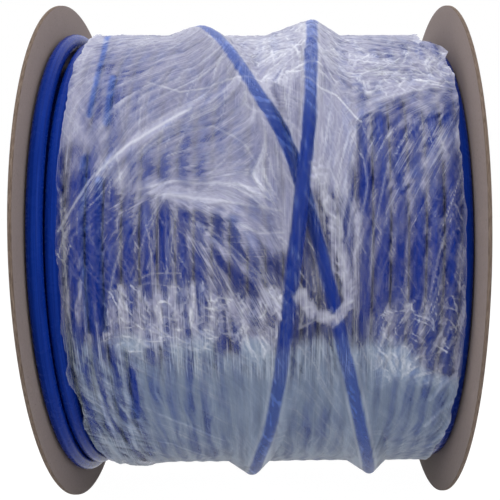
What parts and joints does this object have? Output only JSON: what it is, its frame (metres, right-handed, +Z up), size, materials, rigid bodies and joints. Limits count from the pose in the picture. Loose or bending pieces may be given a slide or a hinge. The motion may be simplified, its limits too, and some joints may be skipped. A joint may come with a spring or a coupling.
{
  "type": "bulk line reel",
  "caption": "Bulk reel of thick blue plastic line between two round board flanges, its winding wrapped in creased clear film, on a paper core with a spindle bore.",
  "frame": {"origin": "middle of the reel's axis", "axes": "+X along the reel's axis to its right end, +Z up; the reel stands on its rims and -Y is its front"},
  "size_m": [0.2236, 0.2898, 0.2898],
  "materials": {
    "grey_board": "raw grey-brown chipboard, matt",
    "kraft_paper": "spiral-wound brown paper, matt",
    "fibreboard": "raw medium-density fibreboard",
    "bush_plastic": "moulded, satin",
    "blue_line": "smooth extruded, glossy",
    "clear_film": "clear stretch film, creased, hazy",
    "staple_steel": "drawn wire, bright"
  },
  "bodies": {
    "root": {"left_flange": "grey_board", "left_core_plug": "fibreboard", "left_arbor_bush": "bush_plastic", "left_staple_1": "staple_steel", "left_staple_2": "staple_steel", "left_staple_3": "staple_steel", "left_staple_4": "staple_steel", "left_staple_5": "staple_steel", "left_staple_6": "staple_steel", "left_barrel_pin_1": "staple_steel", "left_barrel_pin_2": "staple_steel", "left_barrel_pin_3": "staple_steel", "left_barrel_pin_4": "staple_steel", "right_flange": "grey_board", "right_core_plug": "fibreboard", "right_arbor_bush": "bush_plastic", "right_staple_1": "staple_steel", "right_staple_2": "staple_steel", "right_staple_3": "staple_steel", "right_staple_4": "staple_steel", "right_staple_5": "staple_steel", "right_staple_6": "staple_steel", "right_barrel_pin_1": "staple_steel", "right_barrel_pin_2": "staple_steel", "right_barrel_pin_3": "staple_steel", "right_barrel_pin_4": "staple_steel", "core_barrel": "kraft_paper", "arbor_tube": "kraft_paper", "inner_winding": "blue_line", "outer_winding": "blue_line", "line_tail": "blue_line", "film_wrap": "clear_film"}
  },
  "joints": []
}
